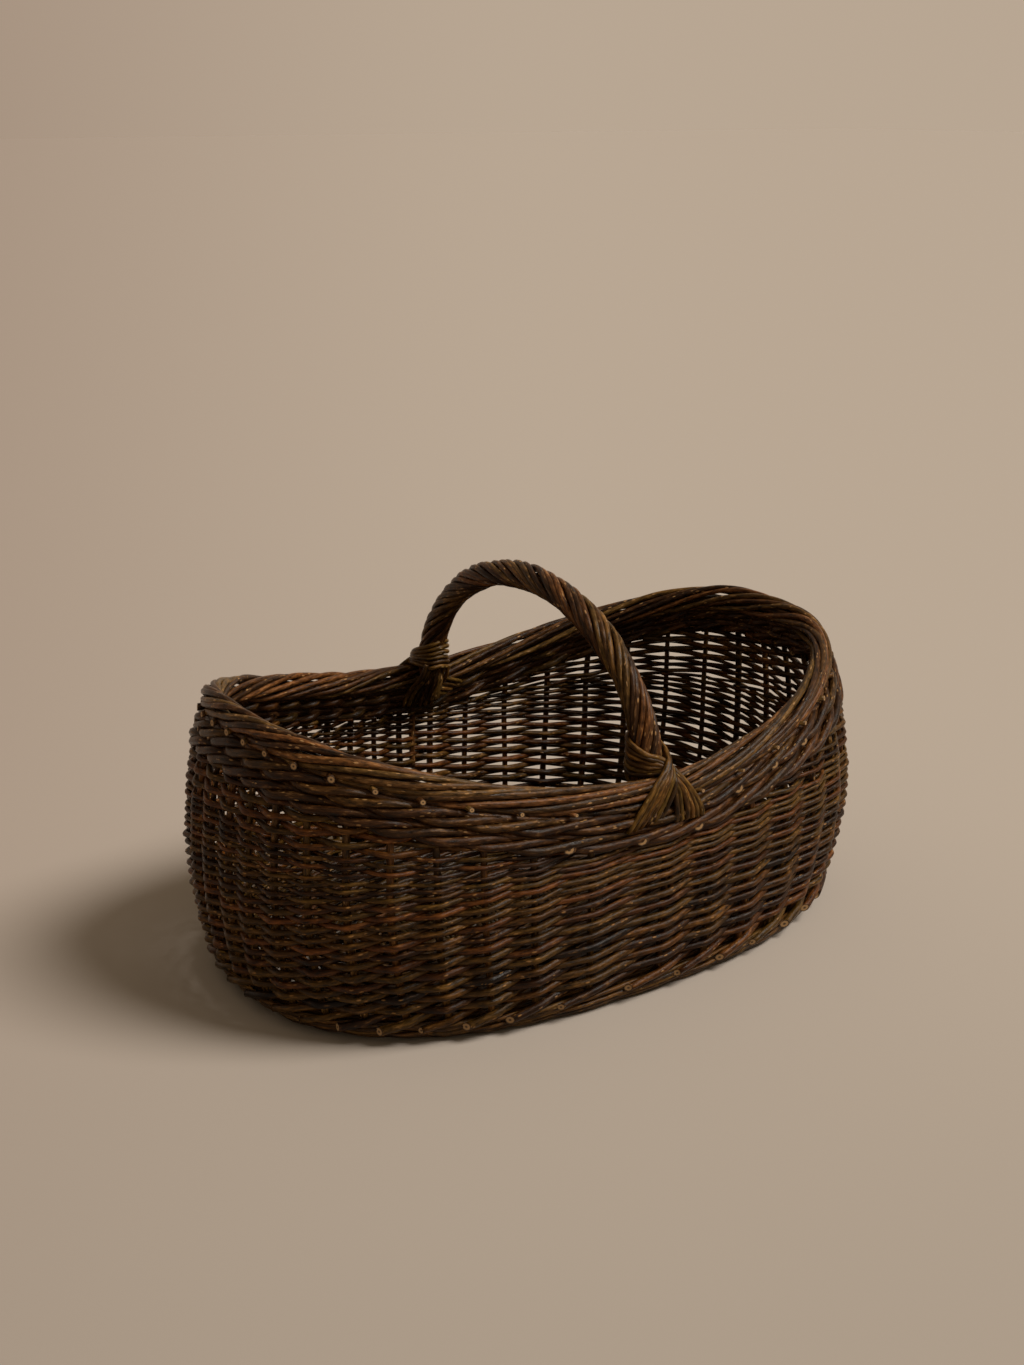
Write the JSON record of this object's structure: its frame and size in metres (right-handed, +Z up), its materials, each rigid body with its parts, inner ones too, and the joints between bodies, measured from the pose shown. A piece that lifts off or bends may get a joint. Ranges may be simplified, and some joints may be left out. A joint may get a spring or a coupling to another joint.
{
  "type": "wicker planter basket",
  "caption": "Oval bark-on willow planter basket with a saddle rim, randed wall, waled top, rolled border and a roped cross handle",
  "frame": {"origin": "on the floor, under the middle of the basket", "axes": "+Z up, +X along the long side, the handle spans Y with the front foot at -Y"},
  "size_m": [0.5686, 0.3804, 0.3002],
  "materials": {
    "bark_brown": "natural bark, satin",
    "bark_red": "natural bark, satin",
    "bark_olive": "natural bark, satin",
    "bark_grey": "natural bark, matt"
  },
  "bodies": {
    "root": {"foot_ring": "bark_brown", "base_slath": "bark_grey", "base_weaver_01": "bark_red", "base_weaver_02": "bark_red", "siding_weaver_01": "bark_red", "siding_weaver_02": "bark_red", "top_wale_01": "bark_olive", "top_wale_02": "bark_olive", "top_wale_03": "bark_olive", "stake_01": "bark_brown", "stake_02": "bark_brown", "stake_03": "bark_brown", "stake_04": "bark_brown", "stake_05": "bark_brown", "stake_06": "bark_brown", "stake_07": "bark_brown", "stake_08": "bark_brown", "stake_09": "bark_brown", "stake_10": "bark_brown", "stake_11": "bark_brown", "stake_12": "bark_brown", "stake_13": "bark_brown", "stake_14": "bark_brown", "stake_15": "bark_brown", "stake_16": "bark_brown", "stake_17": "bark_brown", "stake_18": "bark_brown", "stake_19": "bark_brown", "stake_20": "bark_brown", "stake_21": "bark_brown", "stake_22": "bark_brown", "stake_23": "bark_brown", "stake_24": "bark_brown", "stake_25": "bark_brown", "stake_26": "bark_brown", "stake_27": "bark_brown", "stake_28": "bark_brown", "stake_29": "bark_brown", "stake_30": "bark_brown", "stake_31": "bark_brown", "stake_32": "bark_brown", "stake_33": "bark_brown", "stake_34": "bark_brown", "handle_bow": "bark_brown", "handle_rope_01": "bark_brown", "handle_rope_02": "bark_brown", "handle_rope_03": "bark_brown", "handle_rope_04": "bark_brown", "handle_rope_05": "bark_brown", "handle_rope_06": "bark_brown", "handle_collar_front": "bark_olive", "handle_collar_back": "bark_olive", "handle_tail_front": "bark_olive", "handle_tail_back": "bark_olive", "handle_band_front": "bark_olive", "handle_band_back": "bark_olive"}
  },
  "joints": []
}
